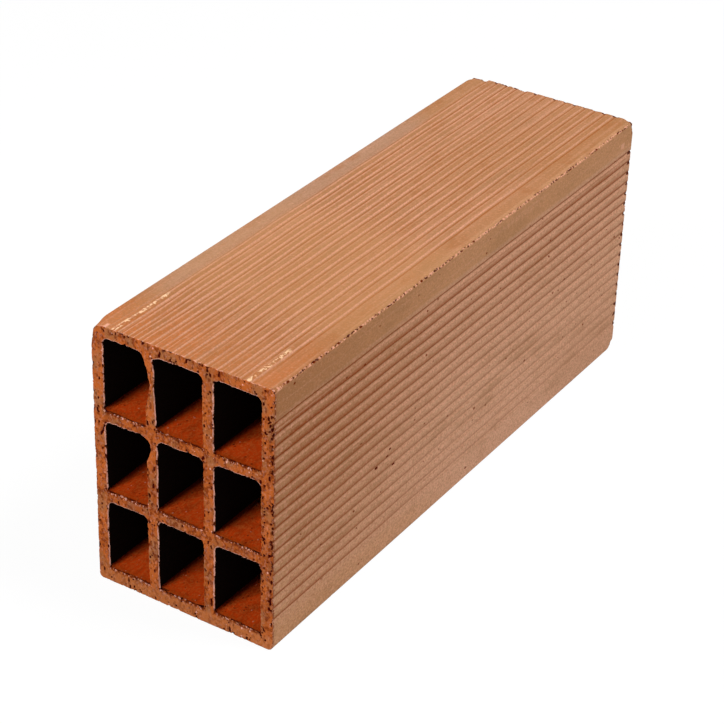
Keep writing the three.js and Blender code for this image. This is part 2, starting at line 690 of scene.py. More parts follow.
def torn_slits(draw, points, count):
    """Pits and short slits in the flat of the cut ends. A slit is an upright row of nicks, leaning a bit."""
    nicks = []
    for _ in range(count):
        start = draw.choice(points)
        lean = draw.uniform(-0.4, 0.4) * MM
        for step in range(draw.choice((1, 1, 2, 3))):
            centre = start + Vector((lean * step, 0, step * MM))
            nicks.append((centre, draw.uniform(0.7, 1.2) * MM, draw.uniform(0.4, 1.1) * MM))
    return nicks


def right_wall_slits(draw, count):
    """Slits in the front end's right wall, in upright rows at these distances from the right face."""
    rows, spread = (0.0, 1.0, 2.2, 5.5, 6.5), 0.9
    bottom, top = LOW.z + 8 * MM, HIGH.z - 3 * MM
    nicks = []
    for _ in range(count):
        x = HIGH.x - draw.choice(rows) * MM - draw.uniform(0, spread) * MM
        start = Vector((x, LOW.y, draw.uniform(bottom, top)))
        for step in range(draw.choice((1, 1, 2))):
            nicks.append((start + Vector((0, 0, step * MM)), 1.1 * MM, draw.uniform(0.6, 1.3) * MM))
    return nicks


def front_slits():
    """The slits of the front end that have places of their own, each as a row of nicks."""
    spacing, radius, depth = 1.1, 1.1, 1.5
    nicks = []
    for low, high in FRONT_SLITS:
        last = max(1, round(math.dist(low, high) / spacing))
        for step in range(last + 1):
            x, z = (a + (b - a) * step / last for a, b in zip(low, high))
            nicks.append((Vector((x * MM, LOW.y, z * MM)), radius * MM, depth * MM))
    return nicks


def place_nicks(bm, sizes):
    """Where the clay is torn or chipped: a list of centre, radius and depth."""
    draw = random.Random(sizes.seed)
    places = nick_places(bm)
    nicks = scattered_nicks(draw, places.rims, sizes.nick_count, (0.7, 1.5), (0.2, 0.8))
    nicks += scattered_nicks(draw, places.ledges, sizes.nick_count, (0.7, 1.4), (0.3, 0.9))
    nicks += torn_slits(draw, places.flat, sizes.tear_count)
    nicks += scattered_nicks(draw, places.sharp, sizes.chip_count, (0.8, 1.4), (0.3, 1.0))
    nicks += scattered_nicks(draw, places.blunt, sizes.chip_count // 4, (0.6, 1.0), (0.2, 0.4))
    nicks += right_wall_slits(draw, sizes.chip_count // 3)
    nicks += front_slits()
    for (x, z), radius, depth in REAR_CHIPS:
        nicks.append((Vector((x * MM, HIGH.y, z * MM)), radius * MM, depth * MM))
    return nicks


def point_tree(points):
    """A search tree of some points, which are found again by their place in the list."""
    tree = kdtree.KDTree(len(points))
    for index, point in enumerate(points):
        tree.insert(point, index)
    tree.balance()
    return tree


def mark_comb(vert, layers):
    """Marks which way a point of the comb leans, and the lips of the flanks that lean down or to the left.
    The lips beside the smooth bands at the edges of a face are left out."""
    land_depth, full_lean, least_lean = 0.02 * MM, 0.6, -0.05
    side_band, top_band = 20 * MM, 12.5 * MM
    # The lean places the painted highlight and the painted shade on the comb. Lips on the right face count as
    # leaning down, which spreads the painted shade onto them, and lips of the top carry a painted highlight
    # line.
    side_lip = -0.45
    side = abs(vert.normal.x) > abs(vert.normal.z)
    lean = vert.normal.z if side else vert.normal.x
    if depth_of(vert.co) > land_depth:
        vert[layers["bloom"]] = max(-1.0, min(1.0, lean / full_lean))
    elif side and lean < least_lean and HIGH.z - vert.co.z > side_band:
        vert[layers["bloom"]] = side_lip
    elif not side and lean < least_lean and HIGH.x - vert.co.x > top_band:
        vert[layers["lip"]] = 1.0


def torn_groove_end(point):
    """True in the depth of a groove right beside the rear end, which is painted dark there like a pit, as
    painted shade. The painted shade reaches furthest in on the right face."""
    reach = (1.4 + 2.4 * unit_noise(point, 8 * MM, shift=3.3)) * MM
    if point.x <= WIDTH / 2 - SHELL_DEPTH:
        reach *= 0.45
    return HIGH.y - point.y < reach and depth_of(point) > 0.45 * GROOVE_DEPTH


def mark_burrs(bm, layer):
    """Fills the layer of the burr round the mouths of the cells."""
    marked_length, burr_reach, ledge_reach = 4 * MM, 1.4 * MM, 3.2 * MM
    rims = [v for v in bm.verts if zones_of(v) == {CUT, CELL}]
    shares = [burr_share(v) for v in rims]
    rim_tree = point_tree([v.co for v in rims])
    for vert in bm.verts:
        if from_end(vert.co) < marked_length:
            _, index, distance = rim_tree.find(vert.co)
            reach = burr_reach if shares[index] > 0 else ledge_reach
            vert[layer] = shares[index] * tent(distance, reach)


def mark_skin(vert, layers):
    """Marks the comb, the rear ends of its grooves for painted shade, and the sharpest long edge."""
    if not near_corner(vert.co):
        mark_comb(vert, layers)
        vert[layers["pit"]] = float(torn_groove_end(vert.co))
    elif on_long_arris(vert.co) and in_sharp_quarter(vert.co):
        vert[layers["edge"]] = 1.0


def moved_by_wear(point, zones, skin_rims, sizes):
    """How far the wear moves a point of the mesh, leaving aside its nicks. Where a groove meets a cut end,
    the end follows the groove's filling for a short way."""
    follows_for = 3 * MM
    move = Vector((0, 0, 0))
    if SKIN in zones:
        move += skin_move(point, sizes)
    elif CUT in zones and depth_of(point) < SHELL_DEPTH:
        rim, _, distance = skin_rims.find(point)
        if not near_corner(rim):
            move += comb_fill(rim) * fade(max(0.0, distance - sizes.arris_round), follows_for)
    if CUT in zones:
        move += cut_move(point, sizes)
    if CELL in zones or (CUT in zones and depth_of(point) > SHELL_DEPTH):
        move += cell_move(point, sizes)
    if point.y < LOW.y + DENTED_LENGTH:
        move += web_dents(point)
    return move + sharpen_arris(point)


def wear(bm, sizes):
    """Moves every point of the mesh and fills the layers that the materials read."""
    widest_pit, full_pit = 2 * MM, 0.7 * MM
    bm.normal_update()
    bm.verts.index_update()
    bm.verts.ensure_lookup_table()
    layers = {name: bm.verts.layers.float.new(name) for name in LAYERS}
    tree = point_tree([v.co for v in bm.verts])
    skin_rims = point_tree([v.co.copy() for v in bm.verts if zones_of(v) == {SKIN, CUT}])
    mark_burrs(bm, layers["burr"])
    moves = []
    for vert in bm.verts:
        zones = zones_of(vert)
        if SKIN in zones:
            mark_skin(vert, layers)
        moves.append(moved_by_wear(vert.co, zones, skin_rims, sizes))
    for centre, radius, depth in place_nicks(bm, sizes):
        centre = tree.find(centre)[0]
        for _, index, distance in tree.find_range(centre, radius):
            vert = bm.verts[index]
            share = fade(distance, radius)
            moves[index] -= vert.normal * depth * share
            if radius < widest_pit:
                vert[layers["pit"]] = max(vert[layers["pit"]], share * min(1, depth / full_pit))
    for vert, move in zip(bm.verts, moves):
        vert.co += move
        for axis in (X, Y, Z):
            vert.co[axis] = min(HIGH[axis], max(LOW[axis], vert.co[axis]))


def weighted_normals(bm):
    """One normal for each point, in which a large face counts more, so that the lands stay flat."""
    bm.normal_update()
    normals = []
    for vert in bm.verts:
        total = Vector((0, 0, 0))
        for face in vert.link_faces:
            total += face.normal * face.calc_area()
        normals.append(total.normalized())
    return normals


def shape_brick(sizes):
    """The whole piece as a bmesh with its wear, and the layers that its materials read."""
    bm = open_tube()
    soften_lips(bm, sizes.lip_round)
    close_ends(bm)
    round_arrises(bm, sizes.arris_round)
    refine(bm, sizes.end_grid)
    clear_diagonals(bm)
    wear(bm, sizes)
    bmesh.ops.triangulate(bm, faces=[f for f in bm.faces if len(f.verts) > 4])
    for face in bm.faces:
        face.smooth = True
    return bm


# ---------------------------------------------------------------- materials


def add(tree, kind, values=None, links=None, **settings):
    """Adds one node. Settings are its own properties, values its unlinked sockets, links its linked ones."""
    made = tree.nodes.new(kind)
    for name, value in settings.items():
        setattr(made, name, value)
    for socket, value in (values or {}).items():
        made.inputs[socket].default_value = value
    for socket, source in (links or {}).items():
        tree.links.new(source, made.inputs[socket])
    return made


def rgba(colour):
    """A colour with full opacity."""
    return (colour[0], colour[1], colour[2], 1)


def blank_material(name):
    """A new material that has no nodes yet, and its node tree."""
    material = bpy.data.materials.new(name)
    material.use_nodes = True
    material.node_tree.nodes.clear()
    return material, material.node_tree


def place_in_mm(tree):
    """The x, y and z of a point of the piece, in millimetres."""
    place = add(tree, "ShaderNodeTexCoord").outputs["Object"]
    scaled = add(tree, "ShaderNodeVectorMath", {"Scale": per_metre(1)}, {0: place}, operation="SCALE")
    return add(tree, "ShaderNodeSeparateXYZ", links={"Vector": scaled.outputs["Vector"]}).outputs


def pattern_place(tree, size_mm, stretch):
    """Where a point lies in a pattern whose features have this size, longer along an axis by its stretch."""
    place = add(tree, "ShaderNodeTexCoord").outputs["Object"]
    scale = tuple(per_metre(size_mm * s) for s in stretch)
    return add(tree, "ShaderNodeMapping", {"Scale": scale}, {"Vector": place}).outputs["Vector"]


def patches(tree, size_mm, low, high, stretch=(1, 1, 1), detail=2.0):
    """Noise as a mask from 0 to 1 between two levels, with features of this size."""
    cloud = add(
        tree,
        "ShaderNodeTexNoise",
        {"Scale": 1.0, "Detail": detail, "Roughness": 0.55},
        {"Vector": pattern_place(tree, size_mm, stretch)},
    )
    levels = add(
        tree,
        "ShaderNodeMapRange",
        {"From Min": low, "From Max": high},
        {"Value": cloud.outputs[0]},
        interpolation_type="SMOOTHSTEP",
    )
    return levels.outputs["Result"]


def pores(tree, size_mm, radius, stretch=(1, 1, 1), share=0.5):
    """A mask of scattered spots, 1 in the middle of each. Only this share of the cells holds one. The lots
    are drawn afresh from a cell's colour, because the colour also says where in the cell its spot lies."""
    larger_by = 0.35
    full_within = 0.35
    cells = add(
        tree,
        "ShaderNodeTexVoronoi",
        {"Scale": 1.0, "Randomness": 1.0},
        {"Vector": pattern_place(tree, size_mm, stretch)},
        feature="F1",
    )
    drawn = add(tree, "ShaderNodeTexWhiteNoise", links={"Vector": cells.outputs["Color"]})
    lot = add(tree, "ShaderNodeSeparateColor", links={"Color": drawn.outputs["Color"]})
    held = add(tree, "ShaderNodeMath", {1: share}, {0: lot.outputs["Red"]}, operation="LESS_THAN")
    reach = add(
        tree,
        "ShaderNodeMath",
        {1: radius, 2: radius * larger_by},
        {0: lot.outputs["Green"]},
        operation="MULTIPLY_ADD",
    )
    ratio = add(
        tree,
        "ShaderNodeMath",
        links={0: cells.outputs["Distance"], 1: reach.outputs[0]},
        operation="DIVIDE",
    )
    disc = add(
        tree,
        "ShaderNodeMapRange",
        {"From Min": 1.0, "From Max": full_within},
        {"Value": ratio.outputs[0]},
        interpolation_type="SMOOTHSTEP",
    )
    links = {0: disc.outputs["Result"], 1: held.outputs[0]}
    return add(tree, "ShaderNodeMath", links=links, operation="MULTIPLY").outputs[0]


def overlap(tree, masks, amount=1.0):
    """The product of some masks, made weaker or stronger."""
    shared = add(tree, "ShaderNodeMath", {1: amount}, {0: masks[0]}, operation="MULTIPLY")
    for mask in masks[1:]:
        links = {0: shared.outputs[0], 1: mask}
        shared = add(tree, "ShaderNodeMath", links=links, operation="MULTIPLY")
    return shared.outputs[0]


def span(tree, value, low=None, high=None, soft=1.0):
    """A mask that is 1 while a value lies between two levels, with soft ends. A level left out is open."""
    ends = []
    for level, reach in ((low, soft), (high, -soft)):
        if level is not None:
            end = add(
                tree,
                "ShaderNodeMapRange",
                {"From Min": level - reach, "From Max": level + reach},
                {"Value": value},
                interpolation_type="SMOOTHSTEP",
            )
            ends.append(end.outputs["Result"])
    return overlap(tree, ends)


def spot(tree, y, z, centre, size):
    """A small soft mark on the right face, at this y and z and of this size along them, in millimetres."""
    soft = 0.35
    ends = []
    for value, middle, extent in zip((y, z), centre, size):
        ends.append(span(tree, value, middle - extent / 2, middle + extent / 2, soft))
    return overlap(tree, ends)


def lay_coats(tree, ground, coats):
    """Coats of colour laid over a ground, each as strong as its amount where all its masks are 1."""
    laid = None
    for colour, amount, *masks in coats:
        share = overlap(tree, masks, amount)
        if laid is None:
            values, links = {MIX_A: rgba(ground), MIX_B: rgba(colour)}, {0: share}
        else:
            values, links = {MIX_B: rgba(colour)}, {0: share, MIX_A: laid}
        mixed = add(tree, "ShaderNodeMix", values, links, data_type="RGBA", clamp_factor=True)
        laid = mixed.outputs[MIX_RESULT]
    return laid


def dressed(tree, colour, bumps, roughness):
    """The clay's shader over a bump. Each of the bumps is a mask and how high it stands, in millimetres."""
    height = None
    for mask, rise in bumps:
        values, links = {1: rise * MM, 2: 0.0}, {0: mask}
        if height is not None:
            links[2] = height
        height = add(tree, "ShaderNodeMath", values, links, operation="MULTIPLY_ADD").outputs[0]
    bump = add(tree, "ShaderNodeBump", {"Strength": 1.0, "Distance": 1.0}, {"Height": height})
    surface = add(
        tree,
        "ShaderNodeBsdfPrincipled",
        {"Roughness": roughness, "Specular IOR Level": 0.04, "Diffuse Roughness": 0.6},
        {"Base Color": colour, "Normal": bump.outputs["Normal"]},
    )
    add(tree, "ShaderNodeOutputMaterial", links={"Surface": surface.outputs["BSDF"]})


def read_marks(tree):
    """The layers that the wear left in the mesh, by name."""
    marks = {}
    for name in LAYERS:
        read = add(tree, "ShaderNodeAttribute", attribute_name=name, attribute_type="GEOMETRY")
        marks[name] = read.outputs["Fac"]
    return marks


def skin_masks(tree):
    """Masks of what differs on the extruded faces, by name. The levels of x, which runs to the right, of y,
    which runs to the rear, and of z, which runs up, are in millimetres."""
    marks = read_marks(tree)
    x, y, z = place_in_mm(tree)
    at = SimpleNamespace()

    # Faces and parts of faces
    at.top = span(tree, z, low=166.6, soft=0.5)
    at.side = span(tree, x, low=57, soft=1)
    at.left_strip = span(tree, x, high=-50, soft=3)
    at.leftward = span(tree, x, -70, -12, 18)
    at.right_margin = span(tree, x, low=47, soft=2)
    at.lower = span(tree, z, high=50, soft=30)
    at.above_foot = span(tree, z, low=50, soft=70)
    at.upper = span(tree, z, low=92, soft=58)
    at.combed = span(tree, z, high=150, soft=2)
    at.band = span(tree, z, low=151.2, soft=1)
    at.foot = overlap(tree, (span(tree, z, high=15, soft=6), span(tree, y, high=-30, soft=40)))

    # Stretches of the length, from the rim of the front end to the rear
    at.rim = span(tree, y, high=-198.6, soft=0.6)
    at.fringe = span(tree, y, high=-198, soft=1.4)
    at.front_end = span(tree, y, high=-165, soft=25)
    at.front_left = overlap(tree, (span(tree, y, high=-168, soft=22), span(tree, x, high=4, soft=18)))
    at.near_front = span(tree, y, high=-145, soft=15)
    at.forward = span(tree, y, high=-100, soft=110)
    at.behind_front = span(tree, y, low=-168, soft=18)
    at.mid_length = span(tree, y, -165, 60, 40)
    at.tan_stretch = span(tree, y, -135, -20, 20)
    at.ash_stretch = span(tree, y, -140, 120, 30)
    at.rear = span(tree, y, low=100, soft=30)
    at.far_rear = span(tree, y, low=120, soft=40)

    # Flanks of the comb that face up or to the right, towards the lamps, for painted highlight, flanks that
    # face the other way, for painted shade, and lips of grooves, for a painted highlight line
    at.lit_flank = span(tree, marks["bloom"], low=0.6, soft=0.35)
    at.dark_flank = span(tree, marks["bloom"], high=-0.42, soft=0.3)
    at.low_flank = span(tree, marks["bloom"], high=-0.22, soft=0.2)
    at.lip = span(tree, marks["lip"], low=0.68, soft=0.18)

    # The first groove of the top, which shows only faintly, painted shade on the upper flank of the right
    # face's first groove, and a scored line along the right face, painted as shade with a painted highlight
    # below it
    at.first_groove = span(tree, x, -53.5, -46.6, 0.8)
    at.first_ash = overlap(tree, (at.first_groove, span(tree, y, -145, 120, 20)))
    at.band_line = span(tree, z, 148.3, 149.0, 0.5)
    # A scored line that the mesh lacks: painted shade along it, and a painted highlight just below it near
    # the front.
    scored_line = span(tree, z, 144.0, 144.6, 0.4)
    at.scored_rear = overlap(tree, (scored_line, span(tree, y, low=-25, soft=35)))
    at.scored_front = overlap(tree, (scored_line, at.near_front))
    at.raised_front = overlap(tree, (span(tree, z, 142.7, 143.4, 0.4), at.near_front))

    # Grain, grit and pores
    at.grain = patches(tree, 0.9, 0.4, 0.62, (1, 1.3, 1), 3)
    at.dark_grit = patches(tree, 1.5, 0.53, 0.63, (1, 1.3, 1), 2)
    at.light_grit = patches(tree, 1.6, 0.55, 0.65, (1, 1.3, 1), 2)
    at.specks = overlap(tree, (pores(tree, 5.0, 0.16, (1, 1.4, 1), 0.3), at.side))

    # Single marks: chips of the sharp long edge, torn pits with the painted shade in the rear ends of the
    # grooves, pale crumbs in two grooves and at a corner
    at.edge = marks["edge"]
    at.chips = overlap(tree, (pores(tree, 2.8, 0.45, (1, 1.1, 1), 0.65), marks["edge"]))
    at.torn = span(tree, marks["pit"], low=0.35, soft=0.2)
    at.pits = [spot(tree, y, z, centre, size) for centre, size in SIDE_PITS]
    at.pale_mark = spot(tree, y, z, (186.5, 155.4), (4.6, 3.4))
    crumbs = overlap(tree, (patches(tree, 1.9, 0.47, 0.53, (1, 1.2, 1)), patches(tree, 9, 0.37, 0.47)))
    left_row = overlap(tree, (span(tree, x, -46.4, -43.8, 0.5), span(tree, y, -202, -150, 3)))
    right_row = overlap(tree, (span(tree, x, 41.6, 44.2, 0.5), span(tree, y, -202, -161, 3)))
    at.crumb_rows = [overlap(tree, (row, at.top, crumbs)) for row in (left_row, right_row)]
    at.corner_mark = overlap(tree, (span(tree, x, -52, -50, 0.6), span(tree, y, -199, -195, 1)))
    return at


def ground_coats(tree, colours, at):
    """The clay's colours on each face, with the stains that the kiln left. The right face is browner near its
    top and front, and paler low down and to the rear.
    """
    return (
        (colours.skin_pink, 0.3, patches(tree, 60, 0.35, 0.7, (1, 1.8, 1))),
        (colours.skin_orange, 0.3, at.top),
        (colours.skin_orange, 0.3, at.top, at.forward),
        (colours.cut_clay, 0.28, at.top, at.front_left),
        (colours.cut_clay, 0.3, at.top, at.front_end),
        (colours.skin_ash, 0.85, at.left_strip, at.ash_stretch),
        (colours.side_beige, 1.0, at.side),
        (colours.pale, 0.17, at.side, at.lower),
        (colours.side_tan, 0.5, at.side, at.forward),
        (colours.side_tan, 0.7, at.side, at.band),
        (colours.side_tan, 0.35, at.side, at.foot),
        (colours.side_brown, 0.31, at.side, at.upper),
        (colours.side_brown, 0.2, at.side, at.lower, at.far_rear),
        (colours.side_brown, 0.67, at.side, at.forward, at.above_foot),
        (colours.skin_pink, 0.35, patches(tree, 2.5, 0.5, 0.72, (1, 45, 1), 3)),
        (colours.skin_khaki, 0.4, patches(tree, 16, 0.5, 0.75, (1, 3, 1))),
        (colours.skin_orange, 0.35, at.top, patches(tree, 9, 0.52, 0.7, (1, 2, 1))),
    )


def comb_coats(tree, colours, at):
    """Painted highlight on the lit flanks and lips of the comb, grit, and painted shade on the other flanks
    and in its lines.
    """
    return (
        # Painted highlight on the flanks that face the lamps: pink, paler along the middle of the top, toned
        # down low on the right face and at its front.
        (colours.skin_pink, 0.85, at.lit_flank, patches(tree, 4, 0.2, 0.5, (1, 8, 1), 3)),
        (colours.pale, 0.5, at.lit_flank, at.top, at.mid_length),
        (colours.side_beige, 0.7, at.lit_flank, at.side, at.lower),
        (colours.side_brown, 0.2, at.lit_flank, at.side, at.lower),
        (colours.side_brown, 0.2, at.lit_flank, at.side, at.forward),
        # A painted highlight line on the lips of the top's grooves, paler to the left.
        (colours.skin_pink, 0.3, at.lip, at.top),
        (colours.pale, 0.35, at.lip, at.top, at.leftward),
        (colours.shade, 0.08, at.side, at.dark_grit),
        (colours.shade, 0.14, at.side, at.combed, at.dark_grit),
        (colours.shade, 0.12, at.side, at.combed, at.forward, at.dark_grit),
        (colours.pale, 0.08, at.side, at.light_grit),
        (colours.pale, 0.24, at.side, at.combed, at.light_grit),
        # Painted shade on the top's flanks that lean away from the side lamp, faint near the front end.
        (colours.skin_orange, 0.25, at.dark_flank, at.top),
        (colours.skin_orange, 0.87, at.dark_flank, at.top, at.behind_front),
        (colours.shade, 0.6, at.dark_flank, at.top, at.behind_front, patches(tree, 50, 0.3, 0.5)),
        (colours.skin_tan, 0.6, at.top, at.first_groove),
        (colours.skin_ash, 0.7, at.top, at.first_ash),
        (colours.cut_clay, 0.3, at.top, at.first_groove, at.front_left),
        # Painted shade on the right face's flanks that face down, strongest high up and towards the front,
        # with near-black dashes in it.
        (colours.shade, 0.26, at.dark_flank, at.side),
        (colours.shade, 0.85, at.dark_flank, at.side, at.upper),
        (colours.shade, 0.85, at.dark_flank, at.side, at.forward),
        (colours.cell_dark, 0.22, at.dark_flank, at.side, at.upper, patches(tree, 3, 0.5, 0.62, (1, 2, 1))),
        # Painted shade that widens the upper flank of the right face's first groove under the band.
        (colours.shade, 0.33, at.side, at.band_line),
        (colours.cut_dark, 0.22, at.side, at.forward, at.band_line),
        # The scored line painted as shade, with a painted highlight below it near the front.
        (colours.shade, 0.5, at.side, at.scored_rear),
        (colours.shade, 0.6, at.side, at.scored_front),
        (colours.skin_pink, 0.6, at.side, at.raised_front),
        # Less painted shade on the right face's low flanks at the rear.
        (colours.side_beige, 0.2, at.dark_flank, at.side, at.lower, at.rear),
        (colours.skin_khaki, 0.4, at.grain),
        # Painted shade spread wider over the flanks that lean away from the lamps.
        (colours.skin_orange, 0.42, at.low_flank, at.top, at.behind_front),
        (colours.cut_dark, 0.15, at.low_flank, at.side, at.forward),
        (colours.shade, 0.22, at.low_flank, at.side, at.upper),
        (colours.cut_clay, 0.14, at.top, at.right_margin, at.near_front),
        (colours.side_tan, 0.25, at.top, at.tan_stretch),
    )


def wear_coats(tree, colours, at):
    """Scuffs, the torn rim at the front, pits, crumbs and chips."""
    return (
        (colours.pale, 0.16, patches(tree, 1.3, 0.52, 0.7, (1, 1.5, 1), 2)),
        (colours.shade, 0.4, at.side, at.fringe),
        (colours.cut_dark, 0.7, at.side, at.fringe, patches(tree, 2.6, 0.48, 0.58)),
        (colours.burr, 0.45, at.side, at.fringe, patches(tree, 1.7, 0.55, 0.62)),
        (colours.pore, 0.8, at.side, at.rim, patches(tree, 2.4, 0.5, 0.58)),
        (colours.burr, 0.7, at.top, at.rim, patches(tree, 1.7, 0.5, 0.57)),
        (colours.shade, 0.9, at.specks),
        (colours.pore, 0.5, at.specks),
        *((colours.shade, 1.0, at.side, pit) for pit in at.pits),
        *((colours.pore, 0.9, at.side, pit) for pit in at.pits),
        (colours.pale, 0.45, at.side, at.pale_mark),
        *((colours.crumb, 0.95, row) for row in at.crumb_rows),
        (colours.pale, 0.9, at.corner_mark, at.top),
        (colours.pale, 0.85, at.edge, patches(tree, 1.8, 0.48, 0.54)),
        (colours.shade, 1.0, at.chips),
        (colours.pore, 0.6, at.chips),
        # Pits and nicks painted dark, together with the painted shade in the rear ends of the grooves.
        (colours.pore, 0.9, at.torn),
    )


def die_skin_clay(colours):
    """Fired red clay with the smeared skin that the die leaves. The flanks of the comb that face up or to the
    right, towards the lamps, carry a painted pinkish highlight, the other flanks carry painted dark orange
    and brown shade, and faint streaks run the way the clay moved. The right face is browner near its top and
    front."""
    material, tree = blank_material("fired clay, extruded die skin")
    at = skin_masks(tree)
    ground = ground_coats(tree, colours, at)
    comb = comb_coats(tree, colours, at)
    colour = lay_coats(tree, colours.skin_tan, ground + comb + wear_coats(tree, colours, at))
    drawn = patches(tree, 2.2, 0.3, 0.7, (1, 9, 1))
    bumps = ((at.grain, 0.11), (at.specks, -0.25), (at.chips, -0.5), (drawn, 0.1), (at.lip, 0.1))
    dressed(tree, colour, bumps, 0.88)
    return material


def wire_cut_clay(colours):
    """Fired red clay that a wire cut while it was wet. The body shows fresh and saturated, torn into upright
    slits and pores, with a pale burr along the upper and left edges of the cells."""
    material, tree = blank_material("fired clay, wire-cut end")
    marks = read_marks(tree)
    z = place_in_mm(tree)["Z"]
    foot = span(tree, z, high=8, soft=2)
    low_web = span(tree, z, 55.5, 62.8, 1)
    high_web = span(tree, z, 108.2, 115.5, 1)
    clusters = patches(tree, 11, 0.42, 0.58, (1, 1, 1.6))
    slits = overlap(tree, (pores(tree, 2.3, 0.2, (1, 1, 3.2), 0.6), clusters))
    holes = pores(tree, 2.6, 0.25, (1, 1, 1.3), 0.26)
    dark_grain = patches(tree, 1.7, 0.5, 0.62, (1, 1, 1.4), 3)
    light_grain = patches(tree, 1.5, 0.54, 0.64, (1, 1, 1.3), 2)
    burr = span(tree, marks["burr"], low=0.46, soft=0.16)
    ledge = span(tree, marks["burr"], high=-0.4, soft=0.2)
    coats = (
        (colours.cut_dark, 0.4, patches(tree, 7, 0.4, 0.7, (1, 1, 1.6), 3)),
        (colours.skin_khaki, 0.5, patches(tree, 9, 0.46, 0.64, (1, 1, 1.6), 3)),
        (colours.cut_clay, 0.85, foot),
        (colours.side_tan, 0.22, foot),
        (colours.cut_dark, 0.16, low_web),
        (colours.cut_dark, 0.12, high_web),
        (colours.pale, 0.1, patches(tree, 3.5, 0.52, 0.66, (1, 1, 1.6), 3)),
        (colours.cut_dark, 0.7, dark_grain),
        (colours.cut_clay, 0.4, foot),
        (colours.side_tan, 0.14, foot),
        (colours.burr, 0.16, light_grain),
        (colours.cut_dark, 0.9, ledge, patches(tree, 1.8, 0.42, 0.52)),
        (colours.burr, 0.8, ledge, patches(tree, 1.3, 0.57, 0.62)),
        (colours.burr, 1.0, burr, patches(tree, 2.5, 0.3, 0.4)),
        (colours.burr, 1.0, pores(tree, 3.0, 0.24, (1, 1, 1.2), 0.22)),
        (colours.pore, 0.95, holes),
        (colours.pore, 1.0, slits),
        (colours.pore, 1.0, span(tree, marks["pit"], low=0.35, soft=0.2)),
    )
    colour = lay_coats(tree, colours.cut_clay, coats)
    bumps = ((slits, -0.6), (holes, -0.4), (dark_grain, -0.15), (light_grain, 0.15))
    dressed(tree, colour, bumps, 0.95)
    return material


def cell_clay(colours):
    """Fired red clay of the cells' walls, which the die's cores drew smooth lengthwise. The floors keep the
    bright orange-red of the clay, with painted shade just inside their front edge and painted shadow beside
    the left walls, while the walls and roofs are painted near-black as shade."""
    material, tree = blank_material("fired clay, core-drawn cell")
    marks = read_marks(tree)
    x, y, _ = place_in_mm(tree)
    facing = add(tree, "ShaderNodeNewGeometry").outputs["True Normal"]
    upward = add(tree, "ShaderNodeSeparateXYZ", links={"Vector": facing}).outputs["Z"]
    floor = span(tree, upward, low=0.6, soft=0.3)
    mouth = span(tree, y, high=-197, soft=2.5)
    grain = patches(tree, 1.2, 0.42, 0.66, (1, 1.6, 1), 3)
    spots = pores(tree, 2.6, 0.22, (1, 1.3, 1), 0.3)
    # Painted shadow on the floors beside the left walls of the cells, where those walls cast it.
    left_walls = (-52.0, -16.8, 21.3)
    soot = [span(tree, x, wall - 3, wall + 2, 2.2) for wall in left_walls]
    coats = (
        (colours.cell_clay, 1.0, floor),
        (colours.cut_dark, 0.45, floor, patches(tree, 5, 0.4, 0.7, (1, 3, 1), 3)),
        (colours.cut_clay, 0.4, floor, grain),
        # Painted shade on the floors just inside the front edge of the cells.
        (colours.shade, 0.5, floor, mouth),
        *((colours.pore, 0.6, floor, strip) for strip in soot),
        (colours.cut_clay, 0.75, span(tree, marks["burr"], low=0.6, soft=0.2), patches(tree, 1.2, 0.4, 0.5)),
        (colours.pale, 0.45, floor, spots),
        (colours.pore, 0.7, floor, pores(tree, 2.0, 0.3, (1, 1.3, 1), 0.3)),
        (colours.pore, 0.8, span(tree, marks["pit"], low=0.35, soft=0.2)),
    )
    # The ground under the floors is the near-black painted shade of the walls and roofs.
    colour = lay_coats(tree, colours.cell_dark, coats)
    dressed(tree, colour, ((grain, 0.15), (spots, 0.3)), 0.9)
    return material


class CLAYBRICK_OT_body(bpy.types.Operator):
    """Make the fired brick with its cut ends, wear and materials"""

    bl_idname = "claybrick.body"
    bl_label = "Fired brick"

    def execute(self, context):
        scene = context.scene
        bm = shape_brick(scene.clay_brick_sizes)
        mesh = bpy.data.meshes.new(PIECE)
        bm.to_mesh(mesh)
        mesh.normals_split_custom_set_from_vertices(weighted_normals(bm))
        bm.free()
        piece = bpy.data.objects.new(PIECE, mesh)
        scene.collection.objects.link(piece)
        for finish in (die_skin_clay, wire_cut_clay, cell_clay):
            mesh.materials.append(finish(scene.clay_brick_colours))
        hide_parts(CAD_NODE)
        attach(piece, "root")
        return {"FINISHED"}


# ---------------------------------------------------------------- stage


def grey(level):
    """A neutral colour of this brightness."""
    return (level, level, level, 1)


def backdrop_paint():
    """Matt board that reads as plain white and keeps a faint shadow. It throws little light back up."""
    board_level, bounce_level = 0.95, 0.65
    glow_strength, glow_share = 1.03, 0.92
    material, tree = blank_material("matt white board")
    bounce = add(tree, "ShaderNodeBsdfDiffuse", {"Color": grey(bounce_level)})
    white = add(tree, "ShaderNodeBsdfDiffuse", {"Color": grey(board_level)})
    glow = add(tree, "ShaderNodeEmission", {"Color": grey(1), "Strength": glow_strength})
    board = add(tree, "ShaderNodeMixShader", {0: glow_share}, {1: white.outputs[0], 2: glow.outputs[0]})
    seen = add(tree, "ShaderNodeLightPath").outputs["Is Camera Ray"]
    mixed = add(tree, "ShaderNodeMixShader", links={0: seen, 1: bounce.outputs[0], 2: board.outputs[0]})
    add(tree, "ShaderNodeOutputMaterial", links={"Surface": mixed.outputs[0]})
    return material


